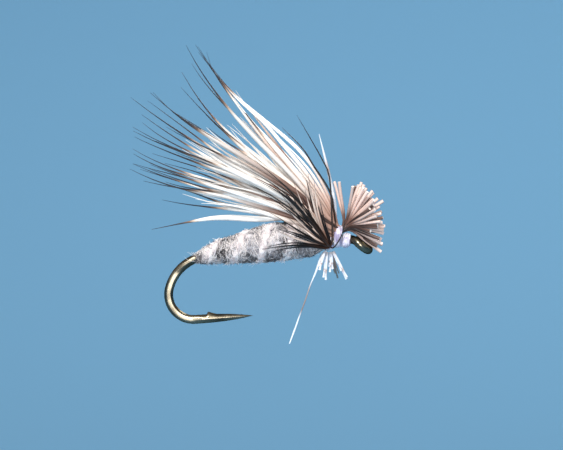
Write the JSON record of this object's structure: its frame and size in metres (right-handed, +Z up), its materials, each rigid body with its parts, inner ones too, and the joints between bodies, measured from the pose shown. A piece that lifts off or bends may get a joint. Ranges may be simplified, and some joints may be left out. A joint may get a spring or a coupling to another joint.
{
  "type": "hair-wing dry fly",
  "caption": "Hair-wing caddis dry fly: ribbed fur body, swept deer-hair wing, dark leg hairs and trimmed hair head on a down-eye hook.",
  "frame": {"origin": "centre of the hook's eye, where the leader's tippet is tied", "axes": "+X forward out of the eye, away from the bend; +Z up, the side the wing stands on, with the hook's gap and point below; +Y to the fly's left side"},
  "size_m": [0.0134, 0.0041, 0.0157],
  "materials": {
    "hook_steel": "bronzed carbon steel, polished",
    "grey_fur": "dubbed fur, fuzzy",
    "white_fur": "dubbed fur, fuzzy",
    "tying_thread": "waxed thread, satin",
    "wing_hair": "natural hair with dark tips, satin",
    "butt_hair": "natural hair, cut ends, satin",
    "dark_hair": "natural hair, satin",
    "pale_fibre": "pale hair and thread ends, satin"
  },
  "bodies": {
    "root": {"body_rib": "white_fur", "bound_hair": "wing_hair", "butt_base": "butt_hair", "collar_thread": "tying_thread", "dubbed_body": "grey_fur", "hair_tag": "pale_fibre", "head_butt_01": "butt_hair", "head_butt_02": "butt_hair", "head_butt_03": "butt_hair", "head_butt_04": "butt_hair", "head_butt_05": "butt_hair", "head_butt_06": "butt_hair", "head_butt_07": "butt_hair", "head_butt_08": "butt_hair", "head_butt_09": "butt_hair", "head_butt_10": "butt_hair", "head_butt_11": "butt_hair", "head_butt_12": "butt_hair", "head_thread": "tying_thread", "hook": "hook_steel", "left_leg_01": "dark_hair", "left_leg_02": "dark_hair", "left_leg_03": "dark_hair", "leg_binding": "tying_thread", "right_leg_01": "dark_hair", "right_leg_02": "dark_hair", "right_leg_03": "dark_hair", "right_leg_04": "dark_hair", "right_leg_05": "dark_hair", "right_leg_06": "dark_hair", "right_leg_07": "dark_hair", "right_leg_08": "dark_hair", "right_leg_09": "dark_hair", "stub_01": "pale_fibre", "stub_02": "pale_fibre", "stub_03": "pale_fibre", "stub_04": "pale_fibre", "thread_base": "tying_thread", "upright_hair": "wing_hair"},
    "wing": {"wing_base": "wing_hair", "wing_tuft_01": "wing_hair", "wing_tuft_02": "wing_hair", "wing_tuft_03": "wing_hair", "wing_tuft_04": "wing_hair", "wing_tuft_05": "wing_hair", "wing_tuft_06": "wing_hair", "wing_tuft_07": "wing_hair", "wing_tuft_08": "wing_hair", "wing_tuft_09": "wing_hair", "wing_tuft_10": "wing_hair", "wing_tuft_11": "wing_hair", "wing_tuft_12": "wing_hair", "wing_tuft_13": "wing_hair", "wing_tuft_14": "wing_hair", "wing_tuft_15": "wing_hair", "wing_tuft_16": "wing_hair", "wing_tuft_17": "wing_hair", "wing_tuft_18": "wing_hair", "wing_tuft_19": "wing_hair"}
  },
  "joints": [
    {"name": "wing_flex", "type": "hinge", "parent": "root", "child": "wing", "pos_m": [-0.00148, 0, 0.00092], "axis": [0, 1, 0], "range_deg": [0, 12], "stiffness_Nm_per_rad": 0.00002}
  ]
}
